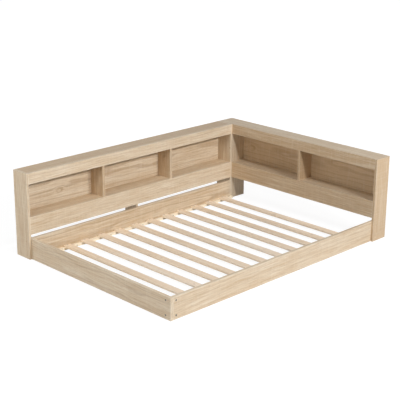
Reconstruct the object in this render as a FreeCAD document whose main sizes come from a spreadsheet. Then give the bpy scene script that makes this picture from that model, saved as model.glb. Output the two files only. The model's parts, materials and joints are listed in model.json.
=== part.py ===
import FreeCAD, Part
import os

# A low double bed frame with a bookcase along one side and a bookcase headboard.
# X runs across the bed (side bookcase at -X), Y runs along it (headboard at +Y), Z is up.
# The origin is on the floor, in the middle of the whole outline. Lengths are millimetres.

doc = FreeCAD.newDocument("double_bed_frame")

# Driving sizes
SIZES = (
    ("mattress_width", 1400, "width of the mattress that lies in the frame"),
    ("mattress_length", 2000, "length of that mattress"),
    ("mattress_play", 18, "room left beside and beyond the mattress"),
    ("board", 18, "thickness of the laminated boards"),
    ("back_board", 9, "thickness of the bookcase backs"),
    ("bookcase_depth", 153, "depth of both bookcases, front to back"),
    ("rail_height", 155, "height of the bed rails above the floor"),
    ("rail_thickness", 22, "thickness of the bed rails"),
    ("rail_setback", 33, "from a bookcase back to the end of the rail that runs under it"),
    ("apron_gap", 28, "open gap between a rail and the lower apron"),
    ("lower_apron_height", 130, "height of the apron under each shelf"),
    ("opening_height", 242, "clear height of the shelf openings at the front"),
    ("top_apron_height", 80, "height of the apron under each top"),
    ("ledger_width", 20, "width of the strips that carry the slats"),
    ("ledger_height", 20, "height of those strips"),
    ("slat_count", 11, "number of slats"),
    ("slat_width", 60, "width of a slat"),
    ("slat_thickness", 12, "thickness of a slat"),
    ("slat_head_margin", 92, "from the headboard's front to the last slat"),
    ("slat_foot_margin", 256, "from the foot rail to the first slat"),
    ("slat_end_gap", 2, "gap between a slat's end and the rail"),
    ("bracket_leg", 50, "leg length of the corner bracket"),
    ("bracket_thickness", 3, "steel thickness of the corner bracket"),
    ("bracket_clear", 8, "from the floor to the corner bracket"),
    ("bracket_drop", 13, "from the rail's top down to the corner bracket"),
    ("fit", 0.15, "clearance round every fastener in its hole"),
    ("blind_cover", 6, "wood left under a blind hole"),
    ("screw_radius", 2, "shank radius of the wood screws"),
    ("screw_head_radius", 4, "head radius of the wood screws"),
    ("screw_head_height", 2.5, "depth of their countersunk heads"),
    ("screw_bite", 24, "how far a screw reaches into a board's edge"),
    ("dowel_radius", 4, "radius of the wooden dowels"),
    ("dowel_reach", 20, "how far a dowel reaches into a board's end"),
    ("cam_radius", 7.5, "radius of the cam locks"),
    ("cam_setback", 34, "from a board's end to the middle of its cam"),
    ("cam_bolt_radius", 3.5, "radius of the cam bolts"),
    ("bolt_radius", 3, "radius of the furniture bolts"),
    ("bolt_head_radius", 7, "radius of their flat heads"),
    ("bolt_head_height", 3, "thickness of their flat heads"),
    ("bolt_recess", 1, "how deep the heads sit below the surface"),
    ("socket_radius", 2.6, "corner radius of the hex socket in their heads"),
    ("socket_depth", 2, "depth of that socket"),
    ("bolt_inset", 25, "from a rail's inner face to the bolts beside it"),
    ("lap_inset", 33, "from a bookcase front to the bolts where a rail laps its panel"),
    ("bolt_low", 26, "height of the lower rail bolts"),
    ("bolt_drop", 27, "from the rail's top down to the upper rail bolts"),
    ("insert_radius", 5, "outer radius of the threaded inserts"),
    ("bracket_nut_radius", 6, "outer radius of the nuts on the corner bracket"),
    ("bracket_nut_height", 5, "height of those nuts"),
    ("link_reach", 42, "how far a link bolt reaches past the panel it passes through"),
    ("nut_radius", 5, "radius of the barrel nuts"),
    ("nut_length", 14, "length of the barrel nuts"),
    ("nut_depth", 32, "from a panel's edge to its barrel nut"),
)

sheet = doc.addObject("Spreadsheet::Sheet", "Sizes")
for row, (alias, value, note) in enumerate(SIZES, start=1):
    sheet.set(f"A{row}", note)
    sheet.set(f"B{row}", str(value))
    sheet.setAlias(f"B{row}", alias)
doc.recompute()

# Planes and lengths that follow from the driving sizes
PLAN = (
    ("inner_width", "Sizes.mattress_width + Sizes.mattress_play"),
    ("inner_length", "Sizes.mattress_length + Sizes.mattress_play"),
    ("overall_x", "Sizes.bookcase_depth + inner_width + Sizes.rail_thickness + Sizes.board"),
    ("overall_y", "Sizes.bookcase_depth + inner_length + Sizes.rail_thickness + Sizes.board"),
    ("side_back_x", "-overall_x / 2"),
    ("side_front_x", "side_back_x + Sizes.bookcase_depth"),
    ("open_rail_inner_x", "side_front_x + inner_width"),
    ("open_rail_outer_x", "open_rail_inner_x + Sizes.rail_thickness"),
    ("open_end_x", "overall_x / 2"),
    ("foot_end_y", "-overall_y / 2"),
    ("foot_rail_outer_y", "foot_end_y + Sizes.board"),
    ("foot_rail_inner_y", "foot_rail_outer_y + Sizes.rail_thickness"),
    ("head_front_y", "foot_rail_inner_y + inner_length"),
    ("head_back_y", "overall_y / 2"),
    ("lower_apron_z", "Sizes.rail_height + Sizes.apron_gap"),
    ("shelf_top", "lower_apron_z + Sizes.lower_apron_height"),
    ("shelf_under", "shelf_top - Sizes.board"),
    ("top_apron_z", "shelf_top + Sizes.opening_height"),
    ("top_z", "top_apron_z + Sizes.top_apron_height"),
    ("top_under", "top_z - Sizes.board"),
    ("shelf_depth", "Sizes.bookcase_depth - Sizes.board - Sizes.back_board"),
    ("divider_depth", "Sizes.bookcase_depth - Sizes.back_board"),
    ("side_start_y", "foot_end_y + Sizes.board"),
    ("side_stop_y", "head_front_y - Sizes.board"),
    ("side_length", "side_stop_y - side_start_y"),
    ("side_bay", "(side_length - 2 * Sizes.board) / 3"),
    ("head_start_x", "side_back_x + Sizes.board"),
    ("head_length", "open_rail_outer_x - head_start_x"),
    ("head_shelf_length", "open_rail_outer_x - side_front_x"),
    ("head_bay", "(head_shelf_length - Sizes.board) / 2"),
    ("slat_run", "inner_length - Sizes.slat_head_margin - Sizes.slat_foot_margin - Sizes.slat_width"),
    ("slat_pitch", "slat_run / (Sizes.slat_count - 1)"),
    ("slat_start_y", "foot_rail_inner_y + Sizes.slat_foot_margin"),
    ("slat_top", "Sizes.ledger_height + Sizes.slat_thickness"),
    ("panel_hole", "Sizes.board - Sizes.blind_cover"),
    ("rail_hole", "Sizes.rail_thickness - Sizes.blind_cover"),
    ("cam_bolt_reach", "Sizes.cam_setback - Sizes.cam_radius - 2 * Sizes.fit"),
    ("bolt_high", "Sizes.rail_height - Sizes.bolt_drop"),
    ("bracket_height", "Sizes.rail_height - Sizes.bracket_drop - Sizes.bracket_clear"),
    ("gap_middle", "(Sizes.rail_height + lower_apron_z) / 2"),
    ("apron_middle", "lower_apron_z + Sizes.lower_apron_height / 2"),
    ("opening_middle", "shelf_top + Sizes.opening_height / 2"),
)

plan = doc.addObject("App::VarSet", "Plan")
for name, formula in PLAN:
    plan.addProperty("App::PropertyFloat", name, "Plan")
    plan.setExpression(name, formula)
doc.recompute()

# Each direction: the coordinate it runs along, its sign, and the turn that lays +Z along it
AXES = {
    "+x": ("x", "+", FreeCAD.Rotation(FreeCAD.Vector(0, 1, 0), 90)),
    "-x": ("x", "-", FreeCAD.Rotation(FreeCAD.Vector(0, 1, 0), -90)),
    "+y": ("y", "+", FreeCAD.Rotation(FreeCAD.Vector(1, 0, 0), -90)),
    "-y": ("y", "-", FreeCAD.Rotation(FreeCAD.Vector(1, 0, 0), 90)),
    "+z": ("z", "+", FreeCAD.Rotation()),
    "-z": ("z", "-", FreeCAD.Rotation(FreeCAD.Vector(1, 0, 0), 180)),
}

blanks = {}
notches = {}
holes = {}
groups = {}


def bind(item, values):
    """Tie properties of a document object to expressions."""
    for path, formula in values.items():
        item.setExpression(path, formula)
    return item


def box(name, corner, size):
    """A box from its lowest corner and its three lengths, all expressions."""
    item = doc.addObject("Part::Box", name)
    values = {f"Placement.Base.{axis}": formula for axis, formula in zip("xyz", corner)}
    values.update(zip(("Length", "Width", "Height"), size))
    return bind(item, values)


def board(name, corner, size):
    """A board of the bed, which fasteners may drill before it is finished."""
    blanks[name] = box(name + "_blank", corner, size)


def notch(name, corner, size):
    """A corner cut out of a board, where another board passes."""
    notches.setdefault(name, []).append(box(name + "_notch", corner, size))


def place(item, axis, point, start):
    """Turn an object to point along an axis, and move it some way along that axis from a point."""
    along, sign, turn = AXES[axis]
    item.Placement = FreeCAD.Placement(FreeCAD.Vector(), turn)
    for coordinate, formula in zip("xyz", point):
        shift = f" {sign} ({start})" if coordinate == along else ""
        item.setExpression(f"Placement.Base.{coordinate}", formula + shift)


def rod(name, axis, point, step, extra):
    """A cylinder or cone that starts some way along an axis from a point."""
    radius_start, radius_end, start, length = step
    if radius_start == radius_end:
        item = doc.addObject("Part::Cylinder", name)
        values = {"Radius": radius_start + extra, "Height": length}
    else:
        item = doc.addObject("Part::Cone", name)
        values = {"Radius1": radius_start + extra, "Radius2": radius_end + extra, "Height": length}
    place(item, axis, point, start)
    return bind(item, values)


def joined(name, kind, items):
    """Several shapes as one object; a lone shape stays as it is."""
    if len(items) == 1:
        return items[0]
    item = doc.addObject(kind, name)
    if kind == "Part::Compound":
        item.Links = items
    else:
        item.Shapes = items
    return item


def stepped(name, axis, point, steps, extra=""):
    """Coaxial cylinders and cones as one solid."""
    parts = [rod(f"{name}_step", axis, point, step, extra) for step in steps]
    return joined(name, "Part::MultiFuse", parts)


def cut(name, base, tool):
    """What is left of a base after a tool is taken out of it."""
    item = doc.addObject("Part::Cut", name)
    item.Base = base
    item.Tool = tool
    return item


def fasten(group, axis, point, steps, boards):
    """Add one fastener to its group, and drill its hole in the boards it joins."""
    groups.setdefault(group, []).append(stepped(group + "_piece", axis, point, steps))
    tool = stepped(group + "_hole", axis, point, steps, " + Sizes.fit")
    for name in boards:
        holes.setdefault(name, []).append(tool)


def bolt(group, axis, point, length, boards, capped):
    """A furniture bolt with a hex socket; its flat head lies in a shallow recess, bare or capped."""
    steps = [
        ("Sizes.bolt_head_radius", "Sizes.bolt_head_radius", "Sizes.bolt_recess",
         "Sizes.bolt_head_height"),
        ("Sizes.bolt_radius", "Sizes.bolt_radius", "Sizes.bolt_recess + Sizes.bolt_head_height",
         f"{length} - Sizes.bolt_recess - Sizes.bolt_head_height"),
    ]
    fasten(group, axis, point, steps, boards)
    recess = [("Sizes.bolt_head_radius", "Sizes.bolt_head_radius", "0", "Sizes.bolt_recess")]
    holes[boards[0]].append(stepped(group + "_recess", axis, point, recess, " + Sizes.fit"))
    if capped:
        groups.setdefault("bolt_caps", []).append(stepped("bolt_caps_piece", axis, point, recess))
    socket = doc.addObject("Part::Prism", group + "_socket")
    socket.Polygon = 6
    size = {"Circumradius": "Sizes.socket_radius", "Height": "Sizes.bolt_recess + Sizes.socket_depth"}
    bind(socket, size)
    place(socket, axis, point, "0")
    groups[group].append(cut(group + "_socketed", groups[group].pop(), socket))


def threaded(group, axis, point, radius, length, bolt_axis, bolt_point, bolt_length, boards):
    """A metal insert or barrel nut with a clear bore for its bolt, in its own hole."""
    step = [(radius, radius, "0", length)]
    bore = [("Sizes.bolt_radius", "Sizes.bolt_radius", "0", bolt_length)]
    blank = stepped(group + "_blank", axis, point, step)
    way = stepped(group + "_bore", bolt_axis, bolt_point, bore, " + Sizes.fit")
    groups.setdefault(group, []).append(cut(group + "_piece", blank, way))
    tool = stepped(group + "_hole", axis, point, step, " + Sizes.fit")
    for name in boards:
        holes.setdefault(name, []).append(tool)


def screw_steps(length):
    """A countersunk wood screw, from its head's top down."""
    return [
        ("Sizes.screw_head_radius", "Sizes.screw_radius", "0", "Sizes.screw_head_height"),
        ("Sizes.screw_radius", "Sizes.screw_radius", "Sizes.screw_head_height",
         f"{length} - Sizes.screw_head_height"),
    ]


# Side bookcase: two panels down to the floor, with a top, shelf, back and aprons between them
for name, y in (("side_foot_end_panel", "Plan.foot_end_y"),
                ("side_head_end_panel", "Plan.side_stop_y")):
    board(name, ("Plan.side_back_x", y, "0"), ("Sizes.bookcase_depth", "Sizes.board", "Plan.top_z"))
board("side_top_board",
      ("Plan.side_back_x", "Plan.side_start_y", "Plan.top_under"),
      ("Sizes.bookcase_depth - Sizes.board", "Plan.side_length", "Sizes.board"))
for name, z, height in (("side_top_apron", "Plan.top_apron_z", "Sizes.top_apron_height"),
                        ("side_lower_apron", "Plan.lower_apron_z", "Sizes.lower_apron_height")):
    board(name, ("Plan.side_front_x - Sizes.board", "Plan.side_start_y", z),
          ("Sizes.board", "Plan.side_length", height))
board("side_shelf",
      ("Plan.side_back_x + Sizes.back_board", "Plan.side_start_y", "Plan.shelf_under"),
      ("Plan.shelf_depth", "Plan.side_length", "Sizes.board"))
board("side_back_panel",
      ("Plan.side_back_x", "Plan.side_start_y", "Plan.shelf_under"),
      ("Sizes.back_board", "Plan.side_length", "Plan.top_under - Plan.shelf_under"))
board("side_centre_leg",
      ("Plan.side_back_x", "(Plan.side_start_y + Plan.side_stop_y - Sizes.board) / 2", "0"),
      ("Sizes.bookcase_depth - Sizes.rail_thickness", "Sizes.board", "Plan.shelf_under"))

# Its dividers stand on the shelf and the lower apron, and are notched behind the top apron
SIDE_DIVIDERS = {
    "side_divider_1": "Plan.side_start_y + Plan.side_bay",
    "side_divider_2": "Plan.side_start_y + 2 * Plan.side_bay + Sizes.board",
}
for name, y in SIDE_DIVIDERS.items():
    board(name, ("Plan.side_back_x + Sizes.back_board", y, "Plan.shelf_top"),
          ("Plan.divider_depth", "Sizes.board", "Plan.top_under - Plan.shelf_top"))
    notch(name, ("Plan.side_front_x - Sizes.board", y, "Plan.top_apron_z"),
          ("Sizes.board", "Sizes.board", "Plan.top_under - Plan.top_apron_z"))

# Headboard bookcase: it runs the whole width, and a panel closes off the corner box
for name, x in (("head_wall_end_panel", "Plan.side_back_x"),
                ("head_open_end_panel", "Plan.open_rail_outer_x")):
    board(name, (x, "Plan.head_front_y", "0"), ("Sizes.board", "Sizes.bookcase_depth", "Plan.top_z"))
board("head_top_board",
      ("Plan.head_start_x", "Plan.head_front_y + Sizes.board", "Plan.top_under"),
      ("Plan.head_length", "Sizes.bookcase_depth - Sizes.board", "Sizes.board"))
board("head_top_apron",
      ("Plan.head_start_x", "Plan.head_front_y", "Plan.top_apron_z"),
      ("Plan.head_length", "Sizes.board", "Sizes.top_apron_height"))
board("head_lower_apron",
      ("Plan.side_front_x", "Plan.head_front_y", "Plan.lower_apron_z"),
      ("Plan.head_shelf_length", "Sizes.board", "Sizes.lower_apron_height"))
board("head_shelf",
      ("Plan.side_front_x", "Plan.head_front_y + Sizes.board", "Plan.shelf_under"),
      ("Plan.head_shelf_length", "Plan.shelf_depth", "Sizes.board"))
board("head_back_panel",
      ("Plan.head_start_x", "Plan.head_back_y - Sizes.back_board", "Plan.shelf_under"),
      ("Plan.head_length", "Sizes.back_board", "Plan.top_under - Plan.shelf_under"))
HEAD_PANELS = {
    "head_corner_panel": ("Plan.side_front_x - Sizes.board", "0", "Sizes.bookcase_depth"),
    "head_divider": ("Plan.side_front_x + Plan.head_bay", "Plan.shelf_top", "Plan.divider_depth"),
}
for name, (x, z, depth) in HEAD_PANELS.items():
    board(name, (x, "Plan.head_front_y", z), ("Sizes.board", depth, f"Plan.top_under - {z}"))
    notch(name, (x, "Plan.head_front_y", "Plan.top_apron_z"),
          ("Sizes.board", "Sizes.board", "Plan.top_under - Plan.top_apron_z"))
notch("head_corner_panel",
      ("Plan.side_front_x - Sizes.board", "Plan.head_back_y - Sizes.back_board", "Plan.shelf_under"),
      ("Sizes.board", "Sizes.back_board", "Plan.top_under - Plan.shelf_under"))

# Bed rails: the foot rail covers the ends of both long rails and laps the foot end panel,
# the open side rail laps the headboard's open end panel
board("foot_rail",
      ("Plan.side_back_x + Sizes.rail_setback", "Plan.foot_rail_outer_y", "0"),
      ("Plan.open_rail_outer_x - Plan.side_back_x - Sizes.rail_setback", "Sizes.rail_thickness",
       "Sizes.rail_height"))
board("open_side_rail",
      ("Plan.open_rail_inner_x", "Plan.foot_rail_inner_y", "0"),
      ("Sizes.rail_thickness", "Plan.head_back_y - Sizes.rail_setback - Plan.foot_rail_inner_y",
       "Sizes.rail_height"))
board("wall_side_rail",
      ("Plan.side_front_x - Sizes.rail_thickness", "Plan.foot_rail_inner_y", "0"),
      ("Sizes.rail_thickness", "Plan.side_stop_y - Plan.foot_rail_inner_y", "Sizes.rail_height"))

# Ledger strips along both long rails, and the slats that lie across them
board("wall_ledger",
      ("Plan.side_front_x", "Plan.foot_rail_inner_y", "0"),
      ("Sizes.ledger_width", "Plan.inner_length", "Sizes.ledger_height"))
board("open_ledger",
      ("Plan.open_rail_inner_x - Sizes.ledger_width", "Plan.foot_rail_inner_y + Sizes.bracket_leg", "0"),
      ("Sizes.ledger_width", "Plan.inner_length - Sizes.bracket_leg", "Sizes.ledger_height"))
LEDGERS = {
    "wall_ledger": ("wall_side_rail", "Plan.side_front_x + Sizes.ledger_width", "-x", "-"),
    "open_ledger": ("open_side_rail", "Plan.open_rail_inner_x - Sizes.ledger_width", "+x", "+"),
}
slat_count = int(sheet.slat_count)
for number in range(slat_count):
    name = f"slat_{number + 1:02d}"
    y = f"Plan.slat_start_y + {number} * Plan.slat_pitch"
    board(name, ("Plan.side_front_x + Sizes.slat_end_gap", y, "Sizes.ledger_height"),
          ("Plan.inner_width - 2 * Sizes.slat_end_gap", "Sizes.slat_width", "Sizes.slat_thickness"))
    for ledger, (rail, face_x, axis, sign) in LEDGERS.items():
        point = (f"{face_x} {sign} Sizes.ledger_width / 2", f"{y} + Sizes.slat_width / 2", "Plan.slat_top")
        steps = screw_steps("(Plan.slat_top - Sizes.blind_cover)")
        fasten("slat_screws", "-z", point, steps, (name, ledger))

# Ledger screws sit between every other pair of slats
for number in range(0, slat_count - 1, 2):
    y = f"Plan.slat_start_y + ({number} + 0.5) * Plan.slat_pitch + Sizes.slat_width / 2"
    for ledger, (rail, face_x, axis, sign) in LEDGERS.items():
        point = (face_x, y, "Sizes.ledger_height / 2")
        steps = screw_steps("(Sizes.ledger_width + Plan.rail_hole)")
        fasten("ledger_screws", axis, point, steps, (ledger, rail))

# Cam locks and cam bolts hold the tops and shelves between their end panels
CAM_BOARDS = (
    ("side_top_board", "y", ("side_foot_end_panel", "side_head_end_panel"),
     ("Plan.side_start_y", "Plan.side_stop_y"),
     "Plan.side_back_x", "Sizes.bookcase_depth - Sizes.board", "Plan.top_under"),
    ("side_shelf", "y", ("side_foot_end_panel", "side_head_end_panel"),
     ("Plan.side_start_y", "Plan.side_stop_y"),
     "Plan.side_back_x + Sizes.back_board", "Plan.shelf_depth", "Plan.shelf_under"),
    ("head_top_board", "x", ("head_wall_end_panel", "head_open_end_panel"),
     ("Plan.head_start_x", "Plan.open_rail_outer_x"),
     "Plan.head_front_y + Sizes.board", "Sizes.bookcase_depth - Sizes.board", "Plan.top_under"),
    ("head_shelf", "x", ("head_corner_panel", "head_open_end_panel"),
     ("Plan.side_front_x", "Plan.open_rail_outer_x"),
     "Plan.head_front_y + Sizes.board", "Plan.shelf_depth", "Plan.shelf_under"),
)
CAM_STEP = [("Sizes.cam_radius", "Sizes.cam_radius", "0", "Plan.panel_hole")]
CAM_BOLT_STEP = [("Sizes.cam_bolt_radius", "Sizes.cam_bolt_radius", "0",
                  "Plan.panel_hole + Plan.cam_bolt_reach")]
for name, axis, panels, ends, edge, depth, under in CAM_BOARDS:
    for panel, end, sign, back in zip(panels, ends, "+-", "-+"):
        for quarter in (1, 3):
            across = f"{edge} + {quarter} * ({depth}) / 4"
            cam_at = f"{end} {sign} Sizes.cam_setback"
            bolt_at = f"{end} {back} Plan.panel_hole"
            middle = f"{under} + Sizes.board / 2"
            cam_point = (across, cam_at, under) if axis == "y" else (cam_at, across, under)
            bolt_point = (across, bolt_at, middle) if axis == "y" else (bolt_at, across, middle)
            fasten("cam_locks", "+z", cam_point, CAM_STEP, (name,))
            fasten("cam_bolts", sign + axis, bolt_point, CAM_BOLT_STEP, (name, panel))

# Dowels peg the aprons into the panels at their ends
APRONS = (
    ("side_top_apron", "y", ("side_foot_end_panel", "side_head_end_panel"),
     ("Plan.side_start_y", "Plan.side_stop_y"), "Plan.side_front_x - Sizes.board / 2",
     "Plan.top_apron_z", "Sizes.top_apron_height"),
    ("side_lower_apron", "y", ("side_foot_end_panel", "side_head_end_panel"),
     ("Plan.side_start_y", "Plan.side_stop_y"), "Plan.side_front_x - Sizes.board / 2",
     "Plan.lower_apron_z", "Sizes.lower_apron_height"),
    ("head_top_apron", "x", ("head_wall_end_panel", "head_open_end_panel"),
     ("Plan.head_start_x", "Plan.open_rail_outer_x"), "Plan.head_front_y + Sizes.board / 2",
     "Plan.top_apron_z", "Sizes.top_apron_height"),
    ("head_lower_apron", "x", ("head_corner_panel", "head_open_end_panel"),
     ("Plan.side_front_x", "Plan.open_rail_outer_x"), "Plan.head_front_y + Sizes.board / 2",
     "Plan.lower_apron_z", "Sizes.lower_apron_height"),
)
DOWEL_STEP = [("Sizes.dowel_radius", "Sizes.dowel_radius", "0", "Plan.panel_hole + Sizes.dowel_reach")]
for name, axis, panels, ends, across, bottom, height in APRONS:
    for panel, end, sign, back in zip(panels, ends, "+-", "-+"):
        for quarter in (1, 3):
            z = f"{bottom} + {quarter} * {height} / 4"
            start = f"{end} {back} Plan.panel_hole"
            point = (across, start, z) if axis == "y" else (start, across, z)
            fasten("apron_dowels", sign + axis, point, DOWEL_STEP, (name, panel))

# Upright boards: dowels peg their tops into the board above, and screws hold the dividers from below
SHELF_EDGE_X = "Plan.side_back_x + Sizes.back_board"
SHELF_EDGE_Y = "Plan.head_front_y + Sizes.board"
UPRIGHTS = [
    ("side_centre_leg", "side_shelf", "Plan.shelf_under", "", "x", SHELF_EDGE_X,
     "(Plan.side_start_y + Plan.side_stop_y) / 2"),
    ("head_corner_panel", "head_top_board", "Plan.top_under", "", "y", SHELF_EDGE_Y,
     "Plan.side_front_x - Sizes.board / 2"),
    ("head_divider", "head_top_board", "Plan.top_under", "head_shelf", "y", SHELF_EDGE_Y,
     "Plan.side_front_x + Plan.head_bay + Sizes.board / 2"),
]
for name, y in SIDE_DIVIDERS.items():
    UPRIGHTS.append((name, "side_top_board", "Plan.top_under", "side_shelf", "x", SHELF_EDGE_X,
                     f"{y} + Sizes.board / 2"))
for name, above, joint_z, below, run, edge, middle in UPRIGHTS:
    for quarter in (1, 3):
        along = f"{edge} + {quarter} * Plan.shelf_depth / 4"
        x, y = (along, middle) if run == "x" else (middle, along)
        fasten("upright_dowels", "-z", (x, y, f"{joint_z} + Plan.panel_hole"), DOWEL_STEP, (above, name))
        if below:
            fasten("divider_screws", "+z", (x, y, "Plan.shelf_under"),
                   screw_steps("(Sizes.board + Sizes.screw_bite)"), (below, name))

# Screws through the backs into the rear edges of the shelves
BACK_SCREWS = 6
for number in range(BACK_SCREWS):
    share = f"({number} + 0.5) / {BACK_SCREWS}"
    z = "Plan.shelf_under + Sizes.board / 2"
    steps = screw_steps("(Sizes.back_board + Sizes.screw_bite)")
    side_point = ("Plan.side_back_x", f"Plan.side_start_y + {share} * Plan.side_length", z)
    head_point = (f"Plan.side_front_x + {share} * Plan.head_shelf_length", "Plan.head_back_y", z)
    fasten("back_panel_screws", "+x", side_point, steps, ("side_back_panel", "side_shelf"))
    fasten("back_panel_screws", "-y", head_point, steps, ("head_back_panel", "head_shelf"))

# Dowels peg the wall side rail between the foot rail and the side bookcase
RAIL_ENDS = (
    ("foot_rail", "+y", "Plan.foot_rail_inner_y - Plan.rail_hole", "Plan.rail_hole"),
    ("side_head_end_panel", "-y", "Plan.side_stop_y + Plan.panel_hole", "Plan.panel_hole"),
)
for name, axis, start, depth in RAIL_ENDS:
    steps = [("Sizes.dowel_radius", "Sizes.dowel_radius", "0", f"{depth} + Sizes.dowel_reach")]
    for quarter in (1, 3):
        z = f"{quarter} * Sizes.rail_height / 4"
        point = ("Plan.side_front_x - Sizes.rail_thickness / 2", start, z)
        fasten("rail_dowels", axis, point, steps, (name, "wall_side_rail"))

# Rail bolts: where a rail laps an end panel, they run through the panel into threaded inserts,
# and flush caps in the board's own finish hide their heads
LAPS = (
    ("+y", "Plan.side_front_x - Sizes.lap_inset", "Plan.foot_end_y", "side_foot_end_panel", "foot_rail"),
    ("-x", "Plan.open_end_x", "Plan.head_front_y + Sizes.lap_inset",
     "head_open_end_panel", "open_side_rail"),
)
BOLT_HEIGHTS = ("Sizes.bolt_low", "Plan.bolt_high")
for axis, x, y, panel, rail in LAPS:
    length = "(Sizes.board + Plan.rail_hole)"
    for z in BOLT_HEIGHTS:
        bolt("rail_bolts", axis, (x, y, z), length, (panel,), capped=True)
        seat = (f"{x} - Sizes.board", y, z) if axis == "-x" else (x, f"{y} + Sizes.board", z)
        threaded("rail_inserts", axis, seat, "Sizes.insert_radius", "Plan.rail_hole",
                 axis, (x, y, z), length, (rail,))

# At the near corner they run bare through both rails and a steel angle bracket into nuts on its inside
bracket_legs = [
    box("near_corner_bracket_leg",
        ("Plan.open_rail_inner_x - Sizes.bracket_leg", "Plan.foot_rail_inner_y",
         "Sizes.bracket_clear"),
        ("Sizes.bracket_leg", "Sizes.bracket_thickness", "Plan.bracket_height")),
    box("near_corner_bracket_leg",
        ("Plan.open_rail_inner_x - Sizes.bracket_thickness", "Plan.foot_rail_inner_y",
         "Sizes.bracket_clear"),
        ("Sizes.bracket_thickness", "Sizes.bracket_leg", "Plan.bracket_height")),
]
blanks["near_corner_bracket"] = joined("near_corner_bracket_blank", "Part::MultiFuse", bracket_legs)
NEAR = (
    ("+y", "Plan.open_rail_inner_x - Sizes.bolt_inset", "Plan.foot_rail_outer_y", "foot_rail"),
    ("-x", "Plan.open_rail_outer_x", "Plan.foot_rail_inner_y + Sizes.bolt_inset", "open_side_rail"),
)
for axis, x, y, rail in NEAR:
    through = "(Sizes.rail_thickness + Sizes.bracket_thickness)"
    length = f"({through} + Sizes.bracket_nut_height)"
    for z in BOLT_HEIGHTS:
        bolt("rail_bolts", axis, (x, y, z), length, (rail, "near_corner_bracket"), capped=False)
        seat = (f"{x} - {through}", y, z) if axis == "-x" else (x, f"{y} + {through}", z)
        threaded("bracket_nuts", axis, seat, "Sizes.bracket_nut_radius", "Sizes.bracket_nut_height",
                 axis, (x, y, z), length, ())

# Link bolts run from the side bookcase into barrel nuts in the headboard's panels,
# which lie flush in the faces that the corner box hides
LINKS = (
    ("head_corner_panel", "Plan.side_front_x - Sizes.board", "+x",
     ("Plan.gap_middle", "Plan.opening_middle")),
    ("head_wall_end_panel", "Plan.head_start_x", "-x",
     ("Sizes.rail_height / 2", "Plan.apron_middle")),
)
for panel, face_x, axis, heights in LINKS:
    length = "(Sizes.board + Sizes.link_reach)"
    for z in heights:
        start = (f"{face_x} {axis[0]} Sizes.board / 2", "Plan.side_stop_y", z)
        bolt("link_bolts", "+y", start, length, ("side_head_end_panel", panel), capped=True)
        seat = (face_x, "Plan.head_front_y + Sizes.nut_depth", z)
        threaded("link_nuts", axis, seat, "Sizes.nut_radius", "Sizes.nut_length",
                 "+y", start, length, (panel,))

# Finish every board: cut its notch and its holes
parts = {}
for name, blank in blanks.items():
    tools = notches.get(name, []) + holes.get(name, [])
    if tools:
        tool = joined(name + "_tools", "Part::MultiFuse", tools)
        parts[name] = cut(name, blank, tool)
    else:
        parts[name] = blank
for name, pieces in groups.items():
    parts[name] = joined(name, "Part::Compound", pieces)
for name, item in parts.items():
    item.Label = name
doc.recompute()

# Stop before writing anything if a piece failed
for item in doc.Objects:
    if "Invalid" in item.State or "Error" in item.State:
        raise RuntimeError(f"{item.Label} failed: {item.State}")
for name, item in parts.items():
    if item.Shape.isNull() or not item.Shape.isValid():
        raise RuntimeError(f"{name} has no valid shape")

os.makedirs("parts", exist_ok=True)
for name, item in parts.items():
    item.Shape.exportStep(f"parts/{name}.step")

box_all = FreeCAD.BoundBox()
for name, item in parts.items():
    box_all.add(item.Shape.BoundBox)
print(len(parts), "sub-parts,", sum(len(item.Shape.Solids) for item in parts.values()), "solids")
print(f"overall {box_all.XLength:.1f} x {box_all.YLength:.1f} x {box_all.ZLength:.1f} mm,",
      f"slat pitch {plan.slat_pitch:.1f} mm")
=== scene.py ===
# %% [markdown]
# # A double bed frame with an L-shaped bookcase
#
# The bed stands straight on the floor. Boards with a printed pale oak face make the rails and
# the two open bookcases, and raw pine slats carry the mattress. The solid boards come ready from
# the CAD model, so this lesson is about what CAD leaves out: rounded edges, wood, metal and light.

# %% Load the boards
import json
import math

import bpy
from mathutils import Matrix, Vector


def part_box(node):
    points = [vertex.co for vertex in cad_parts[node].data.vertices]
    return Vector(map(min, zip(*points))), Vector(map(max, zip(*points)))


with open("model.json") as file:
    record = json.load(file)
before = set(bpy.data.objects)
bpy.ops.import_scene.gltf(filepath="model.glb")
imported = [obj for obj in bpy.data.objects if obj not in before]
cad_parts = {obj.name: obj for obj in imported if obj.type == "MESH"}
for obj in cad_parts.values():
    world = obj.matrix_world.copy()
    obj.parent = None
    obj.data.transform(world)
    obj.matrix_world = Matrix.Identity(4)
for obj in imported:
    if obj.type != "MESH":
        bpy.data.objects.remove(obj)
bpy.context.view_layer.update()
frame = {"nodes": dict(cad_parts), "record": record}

nodes = frame["nodes"]

# %% [markdown]
# ## The camera
#
# The photograph was taken from the open corner of the bed, a little above it and with a long lens.
# The numbers below come from fitting known corners of the bed to the picture. A camera looks along
# its own -Z, so the turns run from the inside out: roll about the lens, tilt up from straight
# down, then swing round the vertical.

# %% Place the camera
CAMERA_AT = Vector((5.0825, -5.0878, 2.7318))
CAMERA_SWING = math.radians(45.318)
CAMERA_TILT = math.radians(-18.315)
CAMERA_ROLL = math.radians(0.378)
FOCAL_PIXELS = 1042.66
IMAGE_PIXELS = 400

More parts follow.
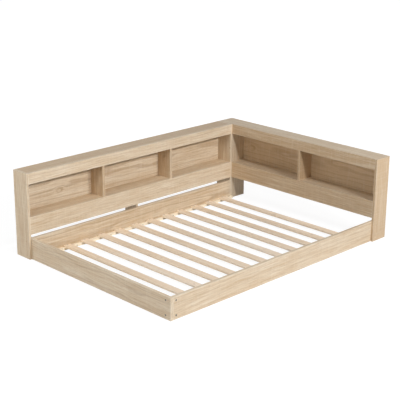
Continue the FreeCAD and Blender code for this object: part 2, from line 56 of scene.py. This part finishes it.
lens = bpy.data.cameras.new("camera")
lens.sensor_width = 36
lens.lens = FOCAL_PIXELS / IMAGE_PIXELS * lens.sensor_width
camera = bpy.data.objects.new("camera", lens)
bpy.context.scene.collection.objects.link(camera)
turns = (Matrix.Rotation(CAMERA_SWING, 4, "Z")
         @ Matrix.Rotation(math.pi / 2 + CAMERA_TILT, 4, "X")
         @ Matrix.Rotation(CAMERA_ROLL, 4, "Z"))
camera.matrix_world = Matrix.Translation(CAMERA_AT) @ turns
bpy.context.scene.camera = camera
print("lens", round(lens.lens, 1), "mm")

# %% [markdown]
# ## Sorting the pieces
#
# Each finish belongs to a group of pieces. The record that came with the model already names the
# material of every piece, so the groups are read from it and not typed again.

# %% Group the pieces by material
groups = {}
for entry in frame["record"]["subparts"]:
    groups.setdefault(entry["material_slot"], []).append(entry["node"])
for slot, names in sorted(groups.items()):
    print(slot, len(names))

# %% [markdown]
# ## Rounded edges
#
# CAD edges are perfectly sharp, and a real edge never is: edge tape on a board is rounded to about
# a millimetre, and planed pine a little more. The thin highlight on that round is what makes a board
# look solid. Weld first joins the corners that the file format split, and a planar Decimate turns
# the triangles of each flat face into one face, because Bevel folds long thin triangles over. Bevel
# then rounds the edges. Edge Split parts the faces at the rims of the screw holes, which stay crisp,
# and Weighted Normal keeps the big faces flat in the shading.

# %% Round the edges
MM_PER_M = 1000
EDGE_ROUND = {"oak_laminate": 0.0010, "pine": 0.0020, "steel": 0.0003, "zinc": 0.0003,
              "bracket_steel": 0.0005}
ROUND_STEPS = 3
CORNER_GAP = 0.00002
FLAT_ANGLE = math.radians(1)
EDGE_ANGLE = math.radians(50)
RIM_ANGLE = math.radians(40)
for slot, width in EDGE_ROUND.items():
    for name in groups[slot]:
        piece = nodes[name]
        weld = piece.modifiers.new("join split corners", "WELD")
        weld.merge_threshold = CORNER_GAP
        flat = piece.modifiers.new("whole flat faces", "DECIMATE")
        flat.decimate_type = "DISSOLVE"
        flat.angle_limit = FLAT_ANGLE
        bevel = piece.modifiers.new("rounded edges", "BEVEL")
        bevel.width = width
        bevel.segments = ROUND_STEPS
        bevel.limit_method = "ANGLE"
        bevel.angle_limit = EDGE_ANGLE
        split = piece.modifiers.new("crisp holes", "EDGE_SPLIT")
        split.split_angle = RIM_ANGLE
        piece.modifiers.new("flat faces", "WEIGHTED_NORMAL")
    print(slot, "edges rounded by", width * MM_PER_M, "mm")

# %% [markdown]
# ## Two small helpers
#
# Colours are written the way a paint program shows them, as sRGB hex, and Blender mixes light in
# linear values, so one function converts. The other adds a node, sets it up and links it, which
# keeps each material readable as a list of steps.

# %% Helpers for colours and nodes
def linear(hex_code):
    """A linear RGBA colour from an sRGB hex code."""
    channels = [int(hex_code[i:i + 2], 16) / 255 for i in (1, 3, 5)]
    return [c / 12.92 if c <= 0.04045 else ((c + 0.055) / 1.055) ** 2.4 for c in channels] + [1.0]


def add_node(tree, kind, inputs=None, **settings):
    """Add a node; its inputs are values, or sockets to link from."""
    node = tree.nodes.new(kind)
    for name, value in settings.items():
        setattr(node, name, value)
    for key, value in (inputs or {}).items():
        if isinstance(value, bpy.types.NodeSocket):
            tree.links.new(value, node.inputs[key])
        else:
            node.inputs[key].default_value = value
    return node


print("white is", linear("#FFFFFF"), "and mid grey", [round(c, 3) for c in linear("#808080")])

# %% [markdown]
# ## Noise along the grain
#
# Wood is streaky because its cells run along the trunk. A photograph of a board could be laid on
# the faces, but it would repeat and would not fit every length, so the figure is built from nodes.
# Noise stretched along the grain gives the broad bands, the streaks, the pores and the faint marks
# of the saw, each sized in millimetres along and across the grain.

# %% Stretch noise along the grain
NOISE_ROUGHNESS = 0.6


def grain_noise(tree, given, layers):
    """The outputs of one stretched noise for each layer."""
    noise = {}
    for layer, (along, across, detail) in layers.items():
        stretched = add_node(tree, "ShaderNodeVectorMath", operation="MULTIPLY", inputs={
            0: given["Vector"], 1: (MM_PER_M / along, MM_PER_M / across, MM_PER_M / across)})
        noise[layer] = add_node(tree, "ShaderNodeTexNoise", noise_dimensions="4D", inputs={
            "Vector": stretched.outputs[0], "W": given["Seed"], "Scale": 1.0, "Detail": detail,
            "Roughness": NOISE_ROUGHNESS}).outputs
    print("noise layers:", ", ".join(noise))
    return noise


# %% [markdown]
# ## Rings round a pith
#
# Wood grows in rings round a pith, and a board cuts those rings nearly lengthwise, which gives
# pointed arches. A Wave texture would make them all alike. Real years differ, so the distance from
# the pith goes through a noise in one dimension instead, whose crests are the dark late wood. That
# distance wanders along the trunk, and the rings bulge round one knot.

# %% Draw the rings
KNOT_STRETCH = 1.8
BULGE_REACH = 4.0
RINGS_PUSHED = 4
PITH_WANDER = 0.06
LATE_WOOD_STARTS = 0.52
LATE_WOOD_FULL = 0.64


def way_from_knot(tree, given, knot):
    """The way from the middle of the knot, counted in knot sizes and longer along the grain."""
    from_knot = add_node(tree, "ShaderNodeVectorMath", operation="SUBTRACT", inputs={
        0: given["Vector"], 1: given["Knot"]})
    return add_node(tree, "ShaderNodeVectorMath", operation="MULTIPLY", inputs={
        0: from_knot.outputs[0], 1: (MM_PER_M / knot / KNOT_STRETCH, MM_PER_M / knot, 0.0)}).outputs[0]


def late_wood_share(tree, given, noise, ring, knot_far):
    """How much late wood there is at a place, for rings about so many millimetres wide."""
    bulge = add_node(tree, "ShaderNodeMapRange", interpolation_type="SMOOTHERSTEP", inputs={
        "Value": knot_far, "From Min": 0.0, "From Max": BULGE_REACH,
        "To Min": RINGS_PUSHED * ring / MM_PER_M, "To Max": 0.0})
    wander = add_node(tree, "ShaderNodeVectorMath", operation="MULTIPLY_ADD", inputs={
        0: noise["wander"]["Color"], 1: (0.0, PITH_WANDER, PITH_WANDER),
        2: (0.0, -PITH_WANDER / 2, -PITH_WANDER / 2)})
    wandered = add_node(tree, "ShaderNodeVectorMath", operation="ADD", inputs={
        0: given["Vector"], 1: wander.outputs[0]})
    across_trunk = add_node(tree, "ShaderNodeVectorMath", operation="MULTIPLY", inputs={
        0: wandered.outputs[0], 1: (0.0, 1.0, 1.0)})
    radius = add_node(tree, "ShaderNodeVectorMath", operation="LENGTH", inputs={
        0: across_trunk.outputs[0]})
    bulged = add_node(tree, "ShaderNodeMath", operation="ADD", inputs={
        0: radius.outputs["Value"], 1: bulge.outputs["Result"]})
    ring_count = add_node(tree, "ShaderNodeMath", operation="MULTIPLY_ADD", inputs={
        0: bulged.outputs[0], 1: MM_PER_M / ring, 2: given["Seed"]})
    rings = add_node(tree, "ShaderNodeTexNoise", noise_dimensions="1D", inputs={
        "W": ring_count.outputs[0], "Scale": 1.0, "Detail": 2.0})
    print("rings about", ring, "mm wide")
    return add_node(tree, "ShaderNodeMapRange", inputs={
        "Value": rings.outputs[0], "From Min": LATE_WOOD_STARTS, "From Max": LATE_WOOD_FULL,
        "To Min": 0.0, "To Max": given["Rings"]}).outputs["Result"]


# %% [markdown]
# ## Knots and eyes
#
# A knot is the foot of a branch. In the pine it is a dark spot, and in the oak print it is an eye: pale
# inside and darkest along one side of its rim. A round mask would look like a drilled hole, so the
# streaks make its outline ragged, and one side is made stronger than the other. The rim of an eye is
# counted in knot sizes from its middle, and a spot is an eye whose rim has shrunk to nothing.

# %% Shade the knot
KNOT_RAGGED = 2.0
KNOT_CORE = 0.25
KNOT_EDGE = 1.1
KNOT_STRENGTH = 0.6
KNOT_STRONG_SIDE = (0.25, 0.25, 0.0)
KNOT_MIDDLE_SHARE = 0.5


def knot_share(tree, noise, knot_way, knot_far, knot_rim):
    """How much of the knot's colour there is at a place."""
    ragged = add_node(tree, "ShaderNodeMath", operation="MULTIPLY_ADD", inputs={
        0: noise["streaks"][0], 1: KNOT_RAGGED, 2: knot_far})
    past_rim = add_node(tree, "ShaderNodeMath", operation="SUBTRACT", inputs={
        0: ragged.outputs[0], 1: knot_rim + KNOT_RAGGED / 2})
    from_rim = add_node(tree, "ShaderNodeMath", operation="ABSOLUTE", inputs={0: past_rim.outputs[0]})
    mask = add_node(tree, "ShaderNodeMapRange", interpolation_type="SMOOTHSTEP", inputs={
        "Value": from_rim.outputs[0], "From Min": KNOT_CORE, "From Max": KNOT_EDGE,
        "To Min": KNOT_STRENGTH, "To Max": 0.0})
    one_side = add_node(tree, "ShaderNodeVectorMath", operation="DOT_PRODUCT", inputs={
        0: knot_way, 1: KNOT_STRONG_SIDE})
    lopsided = add_node(tree, "ShaderNodeMath", operation="ADD", inputs={
        0: one_side.outputs["Value"], 1: KNOT_MIDDLE_SHARE})
    print("knot rim at", knot_rim, "knot sizes")
    return add_node(tree, "ShaderNodeMath", operation="MULTIPLY", inputs={
        0: mask.outputs["Result"], 1: lopsided.outputs[0]}).outputs[0]


# %% [markdown]
# ## Worn corners
#
# Hands and bedding rub the corners of a board, which turn paler and smoother in patches. Blender can
# find sharp edges by how pointed the mesh is, but that needs a dense mesh. A board is a box, so it is
# enough to know its middle and its half size: near a corner, the second nearest face of the board is
# also close by.

# %% Find the worn corners
RUBBED_FULLY = 0.0004
RUBBED_REACH = 0.003


def worn_share(tree, given, noise):
    """How much a place near a corner of the board has been rubbed."""
    from_middle = add_node(tree, "ShaderNodeVectorMath", operation="SUBTRACT", inputs={
        0: given["Vector"], 1: given["Middle"]})
    far_out = add_node(tree, "ShaderNodeVectorMath", operation="ABSOLUTE", inputs={
        0: from_middle.outputs[0]})
    inside = add_node(tree, "ShaderNodeVectorMath", operation="SUBTRACT", inputs={
        0: given["Half size"], 1: far_out.outputs[0]})
    depth = add_node(tree, "ShaderNodeSeparateXYZ", inputs={0: inside.outputs[0]}).outputs
    nearer, farther = [add_node(tree, "ShaderNodeMath", operation=pick, inputs={
        0: depth["X"], 1: depth["Y"]}).outputs[0] for pick in ("MINIMUM", "MAXIMUM")]
    rest = add_node(tree, "ShaderNodeMath", operation="MINIMUM", inputs={0: farther, 1: depth["Z"]})
    second = add_node(tree, "ShaderNodeMath", operation="MAXIMUM", inputs={0: nearer, 1: rest.outputs[0]})
    corner = add_node(tree, "ShaderNodeMapRange", interpolation_type="SMOOTHSTEP", inputs={
        "Value": second.outputs[0], "From Min": RUBBED_FULLY, "From Max": RUBBED_REACH,
        "To Min": 1.0, "To Max": 0.0})
    print("corners rubbed over", RUBBED_REACH * MM_PER_M, "mm")
    return add_node(tree, "ShaderNodeMath", operation="MULTIPLY", inputs={
        0: corner.outputs["Result"], 1: noise["streaks"][0]}).outputs[0]


# %% [markdown]
# ## The whole figure
#
# The steps above come together in a node group, so that all boards of one wood share it and only
# differ in what is plugged in. Streaks and bands pick a tone between the darkest and the palest
# colour of the wood. Late wood, pores, saw marks, the knot and the worn corners are painted over it in
# that order. The streaks and the pores also make the surface rise and sink a little, and the streaks
# and the worn corners change its gloss.

# %% Build a wood figure
BAND_SHARE = 0.3
TONE_STOPS = (0.35, 0.50, 0.65)
FINE_MARKS = {"pores": (0.54, 0.70, 0.45), "saw": (0.50, 0.75, 0.18)}
WORN_SMOOTHER = 0.15
NOISE_LOW = 0.3
NOISE_HIGH = 0.7


def wood_figure(name, ring, knot, knot_rim, layers, tones, marks, rough):
    """A node group that turns a place in a board into colour, height and roughness."""
    tree = bpy.data.node_groups.new(name, "ShaderNodeTree")
    for socket, kind in (("Vector", "Vector"), ("Seed", "Float"), ("Tone and painted shade", "Float"), ("Rings", "Float"),
                         ("Knot", "Vector"), ("Middle", "Vector"), ("Half size", "Vector")):
        tree.interface.new_socket(socket, in_out="INPUT", socket_type="NodeSocket" + kind)
    for socket, kind in (("Color", "Color"), ("Height", "Float"), ("Roughness", "Float")):
        tree.interface.new_socket(socket, in_out="OUTPUT", socket_type="NodeSocket" + kind)
    given = add_node(tree, "NodeGroupInput").outputs
    noise = grain_noise(tree, given, layers)
    streaks = noise["streaks"][0]
    knot_way = way_from_knot(tree, given, knot)
    knot_far = add_node(tree, "ShaderNodeVectorMath", operation="LENGTH", inputs={
        0: knot_way}).outputs["Value"]
    worn = worn_share(tree, given, noise)

    tone = add_node(tree, "ShaderNodeMix", data_type="FLOAT", inputs={
        0: BAND_SHARE, 2: streaks, 3: noise["bands"][0]}).outputs[0]
    # The Tone input shifts the figure darker or paler. It is a random difference between boards, and on
    # some oak boards it is painted shade.
    shifted = add_node(tree, "ShaderNodeMath", operation="ADD", inputs={0: tone, 1: given["Tone and painted shade"]})
    colour = add_node(tree, "ShaderNodeValToRGB", inputs={0: shifted.outputs[0]})
    ramp = colour.color_ramp
    ramp.elements.new(TONE_STOPS[1])
    for stop, place, hex_code in zip(ramp.elements, TONE_STOPS, tones):
        stop.position = place
        stop.color = linear(hex_code)

    shares = {"late wood": late_wood_share(tree, given, noise, ring, knot_far)}
    for mark, (starts, full, strength) in FINE_MARKS.items():
        shares[mark] = add_node(tree, "ShaderNodeMapRange", inputs={
            "Value": noise[mark][0], "From Min": starts, "From Max": full,
            "To Min": 0.0, "To Max": strength}).outputs["Result"]
    shares["knot"] = knot_share(tree, noise, knot_way, knot_far, knot_rim)
    shares["worn corner"] = worn
    painted = colour.outputs["Color"]
    for mark, share in shares.items():
        painted = add_node(tree, "ShaderNodeMix", data_type="RGBA", inputs={
            0: share, 6: painted, 7: linear(marks[mark])}).outputs[2]

    height = add_node(tree, "ShaderNodeMath", operation="MULTIPLY_ADD", inputs={
        0: noise["pores"][0], 1: -1.0, 2: streaks})
    gloss = add_node(tree, "ShaderNodeMapRange", inputs={
        "Value": streaks, "From Min": NOISE_LOW, "From Max": NOISE_HIGH,
        "To Min": rough[0], "To Max": rough[1]})
    smoothed = add_node(tree, "ShaderNodeMath", operation="MULTIPLY_ADD", inputs={
        0: worn, 1: -WORN_SMOOTHER, 2: gloss.outputs["Result"]})
    add_node(tree, "NodeGroupOutput", inputs={
        "Color": painted, "Height": height.outputs[0], "Roughness": smoothed.outputs[0]})
    print(name, "has", len(tree.nodes), "nodes")
    return tree


# %% [markdown]
# ## Printed oak and raw pine
#
# The boards are chipboard under a melamine face printed to look like pale, rough-sawn oak. The print
# is a photograph of real oak, so it has oak's bands, pores and saw marks, but the surface is
# nearly smooth and has the dull gloss of melamine. The slats and ledgers are planed, unvarnished pine:
# warmer and plainer, with small reddish knots. The ledgers were cut from the outside of the trunk,
# which is paler. Pores are drawn coarser than the real half millimetre, or they would vanish at this
# distance.

# %% Make the figures
oak_figure = wood_figure(
    "oak_print_figure", ring=10.0, knot=10.0, knot_rim=1.5,
    layers={"wander": (700, 130, 2.0), "bands": (600, 50, 2.0), "streaks": (170, 7, 3.0),
            "pores": (45, 3.2, 2.0), "saw": (7, 160, 1.0)},
    tones=("#CCB08C", "#DBC6A8", "#E6D7BF"),
    marks={"late wood": "#A68560", "pores": "#AB9070", "saw": "#EADFCC", "knot": "#AD8D68",
           "worn corner": "#ECE2CF"},
    rough=(0.44, 0.56))
PINE_LAYERS = {"wander": (900, 120, 1.0), "bands": (1200, 60, 1.0), "streaks": (600, 9, 3.0),
               "pores": (30, 1.6, 1.0), "saw": (9, 60, 1.0)}
pine_figure = wood_figure(
    "pine_figure", ring=7.0, knot=9.0, knot_rim=0.0, layers=PINE_LAYERS,
    tones=("#F0D8B8", "#F6E1C6", "#FBECD7"),
    marks={"late wood": "#E1BF99", "pores": "#EDD6B7", "saw": "#F8E9D3", "knot": "#8A5B37",
           "worn corner": "#FAEDDA"},
    rough=(0.52, 0.66))
pale_pine_figure = wood_figure(
    "pale_pine_figure", ring=9.0, knot=9.0, knot_rim=0.0, layers=PINE_LAYERS,
    tones=("#F4E2C2", "#F8EAD0", "#FBF1DE"),
    marks={"late wood": "#EBD0A8", "pores": "#F2DFBF", "saw": "#FAEFDB", "knot": "#A87B50",
           "worn corner": "#FAF0DE"},
    rough=(0.52, 0.66))

# %% [markdown]
# ## A material for every board
#
# No two boards show the same stretch of figure, and the grain runs along each board's length, so
# every board gets a material of its own round the shared figure. Its Mapping node turns world
# metres into the board's own directions: X along the grain, Y across the face and Z through the
# thickness. The place it starts from is the pith of that board's tree. Unwrapping each board by hand
# would also work, but this way follows the board when its size changes.

# %% Make a board's material
PITH_DEPTH = 0.09
SEED_STEP = 7.3
GRAIN_STRENGTH = 0.25
GRAIN_RELIEF = 0.0004
BOARD_IOR = 1.5


def board_material(name, finish, figure, number, tone, pith_side, rings, knot):
    """Wood whose grain follows the longest side of one board."""
    low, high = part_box(name)
    size = high - low
    order = sorted(range(3), key=lambda axis: -size[axis])
    along, across = [Vector([float(axis == pick) for axis in range(3)]) for pick in order[:2]]
    through = along.cross(across)
    turn = Matrix((along, across, through)).transposed().to_euler()
    pith = (low + high) / 2 - through * PITH_DEPTH - across * pith_side

    material = bpy.data.materials.new(f"{finish}_{name}")
    material.use_nodes = True
    tree = material.node_tree
    shader = tree.nodes["Principled BSDF"]
    place = add_node(tree, "ShaderNodeTexCoord")
    mapping = add_node(tree, "ShaderNodeMapping", vector_type="TEXTURE", inputs={
        "Vector": place.outputs["Object"], "Location": pith, "Rotation": turn})
    wood = add_node(tree, "ShaderNodeGroup", node_tree=figure)
    tree.links.new(mapping.outputs[0], wood.inputs["Vector"])
    wood.inputs["Seed"].default_value = number * SEED_STEP
    wood.inputs["Tone and painted shade"].default_value = tone
    wood.inputs["Rings"].default_value = rings
    wood.inputs["Knot"].default_value = (knot[0], knot[1] + pith_side, 0.0)
    wood.inputs["Middle"].default_value = (0.0, pith_side, PITH_DEPTH)
    wood.inputs["Half size"].default_value = [size[axis] / 2 for axis in order]
    bump = add_node(tree, "ShaderNodeBump", inputs={
        "Height": wood.outputs["Height"], "Strength": GRAIN_STRENGTH, "Distance": GRAIN_RELIEF})
    tree.links.new(wood.outputs["Color"], shader.inputs["Base Color"])
    tree.links.new(wood.outputs["Roughness"], shader.inputs["Roughness"])
    tree.links.new(bump.outputs[0], shader.inputs["Normal"])
    shader.inputs["IOR"].default_value = BOARD_IOR
    nodes[name].data.materials.clear()
    nodes[name].data.materials.append(material)


print("the pith lies", PITH_DEPTH, "m behind each board")

# %% [markdown]
# ## Choosing the boards' grain, tone and painted shade
#
# A pith right behind the face gives arches, and one off to the side gives straight grain. In the
# photograph the two backs, the wall side rail and the foot rail have arches, and each back has an eye in
# its first compartment. The listed tones make some boards darker, mostly the ones inside the headboard,
# its open end and the tops. This is partly a small real difference between sheets and partly painted
# shade for the shade those boards stand in. Multiples of the golden ratio spread the other differences
# evenly without a random number, so every run is the same. The slats' knots are spread in the same way.

# %% Give each board its grain
GOLDEN = 0.6180339887
FAR_AWAY = (9.0, 9.0)
OAK_KNOTS = {"side_back_panel": (-0.645, -0.054), "head_back_panel": (-0.56, -0.03)}
# Painted shade: the listed boards are darkened where they stand in shade, together with small real tone
# differences between sheets.
OAK_TONES_AND_PAINTED_SHADE = {"head_back_panel": -0.19, "head_divider": -0.26, "head_corner_panel": -0.02,
             "head_open_end_panel": -0.16, "head_shelf": -0.04, "head_top_apron": -0.10,
             "head_lower_apron": -0.08, "side_shelf": -0.08, "side_top_board": -0.18,
             "side_divider_1": -0.10, "side_divider_2": -0.10, "wall_side_rail": -0.06,
             "bolt_caps": -0.12}
OAK_TONE_SPREAD = 0.06
ARCHED = {"side_back_panel", "head_back_panel", "wall_side_rail", "foot_rail"}
ARCHED_RINGS = 0.42
ARCHED_PITH_SPREAD = 0.06
STRAIGHT_RINGS = 0.18
STRAIGHT_PITH_SIDE = 0.22
PINE_RINGS = 0.16
PINE_TONE_SPREAD = 0.1
PITH_SPREAD = 0.12
PINE_FIRST_NUMBER = 50
PINE_KNOT_ALONG = 1.3
PINE_KNOT_ACROSS = 0.02
PINE_KNOT_STEP = 5


def spread(number):
    """A value from -0.5 to 0.5, far from those of the numbers before and after."""
    return (number * GOLDEN) % 1.0 - 0.5


for number, name in enumerate(groups["oak_laminate"]):
    if name in ARCHED:
        rings = ARCHED_RINGS
        pith_side = spread(number) * ARCHED_PITH_SPREAD
    else:
        rings = STRAIGHT_RINGS
        pith_side = STRAIGHT_PITH_SIDE + spread(number) * PITH_SPREAD
    # tone is painted shade for the listed boards and a random spread for the rest.
    tone = OAK_TONES_AND_PAINTED_SHADE.get(name, OAK_TONE_SPREAD * spread(number))
    knot = OAK_KNOTS.get(name, FAR_AWAY)
    board_material(name, "oak_print", oak_figure, number, tone, pith_side, rings, knot)
for number, name in enumerate(groups["pine"]):
    figure = pale_pine_figure if "ledger" in name else pine_figure
    tone = PINE_TONE_SPREAD * spread(number)
    knot = (PINE_KNOT_ALONG * spread(number), PINE_KNOT_ACROSS * spread(number * PINE_KNOT_STEP))
    board_material(name, "planed_pine", figure, number + PINE_FIRST_NUMBER, tone,
                   PITH_SPREAD * spread(number), PINE_RINGS, knot)
print(len(groups["oak_laminate"]), "oak boards and", len(groups["pine"]), "pine strips")

# %% [markdown]
# ## Metal and dowels
#
# Screws and nuts are zinc-plated steel, which is bright but a little cloudy. The rail bolts, whose
# heads show at the near corner, are darker, oil-blackened steel. The other bolts hide under flat
# caps, which wear the same print as the boards. The bracket behind the near corner is steel under
# black powder coat, the cam locks are die-cast zinc, and the dowels are turned beech. All of them
# are small, so each gets a short recipe: a noise that mottles the colour and the gloss by an amount
# typical of how it was made.

# %% Make the small finishes
SMALL_FINISHES = {
    "steel": ("zinc_plated_steel", 1.0, "#A9A9A6", "#8E8D88", (0.28, 0.46), 2.0),
    "rail_bolts": ("oil_blackened_steel", 1.0, "#8F8B84", "#716D66", (0.34, 0.50), 2.0),
    "zinc": ("die_cast_zinc", 1.0, "#9C9DA0", "#808184", (0.42, 0.60), 1.2),
    "bracket_steel": ("black_powder_coat", 0.0, "#1C1C1D", "#2A2A2B", (0.45, 0.62), 0.8),
    "beech": ("turned_beech", 0.0, "#CBA67C", "#B88F63", (0.50, 0.66), 3.0),
}
MOTTLE_STRENGTH = 0.2
MOTTLE_RELIEF = 0.0002
for key, (finish, metallic, first, second, rough, grain) in SMALL_FINISHES.items():
    material = bpy.data.materials.new(finish)
    material.use_nodes = True
    tree = material.node_tree
    shader = tree.nodes["Principled BSDF"]
    place = add_node(tree, "ShaderNodeTexCoord")
    mottle = add_node(tree, "ShaderNodeTexNoise", inputs={
        "Vector": place.outputs["Object"], "Scale": MM_PER_M / grain, "Detail": 3.0}).outputs[0]
    colour = add_node(tree, "ShaderNodeMix", data_type="RGBA", inputs={
        0: mottle, 6: linear(first), 7: linear(second)})
    gloss = add_node(tree, "ShaderNodeMapRange", inputs={
        "Value": mottle, "From Min": NOISE_LOW, "From Max": NOISE_HIGH,
        "To Min": rough[0], "To Max": rough[1]})
    bump = add_node(tree, "ShaderNodeBump", inputs={
        "Height": mottle, "Strength": MOTTLE_STRENGTH, "Distance": MOTTLE_RELIEF})
    tree.links.new(colour.outputs[2], shader.inputs["Base Color"])
    tree.links.new(gloss.outputs["Result"], shader.inputs["Roughness"])
    tree.links.new(bump.outputs[0], shader.inputs["Normal"])
    shader.inputs["Metallic"].default_value = metallic
    wearers = groups.get(key, [key])
    for name in wearers:
        nodes[name].data.materials.clear()
        nodes[name].data.materials.append(material)
    print(finish, "on", ", ".join(wearers))

# %% [markdown]
# ## Floor
#
# The picture is a cut-out on white. A big pale floor takes the soft shadow and throws light
# back under the bed. A shadow catcher would cut it out as well, but it needs a second step after the
# render. Here the floor glows for the camera, so that it joins the white background, and only the
# shadow is left of it. Away from the bed the lamps grow weak, so the glow grows to full white there.

# %% Lay the floor
FLOOR_SIZE = 40.0
GLOW_BY_THE_BED = 0.92
GLOW_FAR_OFF = 1.0
GLOW_GROWS_FROM = 1.0
GLOW_GROWS_TO = 3.5


def seen_rays(tree):
    """1 for a ray that is seen, directly, in a mirror or through glass, and 0 for one that lights."""
    rays = add_node(tree, "ShaderNodeLightPath").outputs
    seen = rays["Is Camera Ray"]
    for kind in ("Is Glossy Ray", "Is Transmission Ray"):
        seen = add_node(tree, "ShaderNodeMath", operation="MAXIMUM", inputs={
            0: seen, 1: rays[kind]}).outputs[0]
    return seen


bpy.ops.mesh.primitive_plane_add(size=FLOOR_SIZE, location=(0, 0, 0))
floor = bpy.context.object
floor.name = "floor"
material = bpy.data.materials.new("pale_floor")
material.use_nodes = True
tree = material.node_tree
tree.nodes.clear()
matt = add_node(tree, "ShaderNodeBsdfDiffuse", inputs={"Color": linear("#E8E8E8")})
faint = add_node(tree, "ShaderNodeBsdfDiffuse", inputs={"Color": linear("#696969")})
place = add_node(tree, "ShaderNodeTexCoord")
from_bed = add_node(tree, "ShaderNodeVectorMath", operation="LENGTH", inputs={0: place.outputs["Object"]})
whiter = add_node(tree, "ShaderNodeMapRange", interpolation_type="SMOOTHSTEP", inputs={
    "Value": from_bed.outputs["Value"], "From Min": GLOW_GROWS_FROM, "From Max": GLOW_GROWS_TO,
    "To Min": GLOW_BY_THE_BED, "To Max": GLOW_FAR_OFF})
glow = add_node(tree, "ShaderNodeEmission", inputs={"Strength": whiter.outputs["Result"]})
shown = add_node(tree, "ShaderNodeAddShader", inputs={0: faint.outputs[0], 1: glow.outputs[0]})
choice = add_node(tree, "ShaderNodeMixShader", inputs={
    0: seen_rays(tree), 1: matt.outputs[0], 2: shown.outputs[0]})
add_node(tree, "ShaderNodeOutputMaterial", inputs={"Surface": choice.outputs[0]})
floor.data.materials.append(material)
print("floor", FLOOR_SIZE, "m square")

# %% [markdown]
# ## White room
#
# Past the floor's edge the world shows. A bright white world would light the bed from all sides and
# wash out its shadows, so it is white only where it is seen, and as a light it is very weak.

# %% Surround it with white
ROOM_LIGHT = 0.05
world = bpy.data.worlds.new("white_room")
bpy.context.scene.world = world
world.use_nodes = True
tree = world.node_tree
background = tree.nodes["Background"]
background.inputs["Color"].default_value = linear("#FFFFFF")
strength = add_node(tree, "ShaderNodeMapRange", inputs={
    "Value": seen_rays(tree), "To Min": ROOM_LIGHT, "To Max": 1.0})
tree.links.new(strength.outputs["Result"], background.inputs["Strength"])
print("the room lights with a strength of", ROOM_LIGHT)

# %% [markdown]
# ## Light
#
# The faces on the open side are the brightest, the foot is a step darker and the headboard's
# front is in half shade, so the main light comes from the open side. It is shared by two lamps. The
# one nearer the foot also reaches a little way into the headboard's compartments, where it draws
# slanting shadows. A lamp high above lights the tops and the slats, another fills the foot, and a
# weak one on the bookcase's side keeps the headboard from going dark. The picture's shadows are soft
# at the edge but still clear under the aprons, so the strong lamps are disks of less than a metre
# and the weak ones are wider. The last lamp lights the backs from the wall's side. The tops would
# mirror it into the camera as a glare, so its reflection is switched off.

# %% Set up the lights
LOOK_AT = Vector((0.0, 0.0, 0.2))
LAMPS = {
    "open_side_light": ((7.7, 1.0, 4.65), 0.7, 282.0, "#FAFBFF", True),
    "open_corner_light": ((7.7, -0.5, 4.65), 0.8, 289.0, "#FAFBFF", True),
    "high_light": ((2.6, -2.2, 7.6), 0.8, 111.0, "#F3F7FF", True),
    "foot_light": ((0.3, -4.3, 2.4), 1.4, 52.0, "#FFFFFF", True),
    "bookcase_side_light": ((-2.6, -3.6, 1.2), 1.2, 20.0, "#FFFFFF", True),
    "wall_side_light": ((-5.2, 3.6, 1.2), 2.0, 90.0, "#FFFFFF", False),
}
for name, (place, size, watts, tint, mirrored) in LAMPS.items():
    lamp = bpy.data.lights.new(name, "AREA")
    lamp.shape = "DISK"
    lamp.size = size
    lamp.energy = watts
    lamp.color = linear(tint)[:3]
    holder = bpy.data.objects.new(name, lamp)
    bpy.context.scene.collection.objects.link(holder)
    holder.location = place
    holder.visible_glossy = mirrored
    holder.rotation_euler = (LOOK_AT - holder.location).to_track_quat("-Z", "Y").to_euler()
    print(name, watts, "W, at", round((LOOK_AT - holder.location).length, 2), "m")

# %% [markdown]
# ## Last steps
#
# Standard colour keeps the colours as they were written.

# %% Finish
bpy.context.scene.view_settings.view_transform = "Standard"
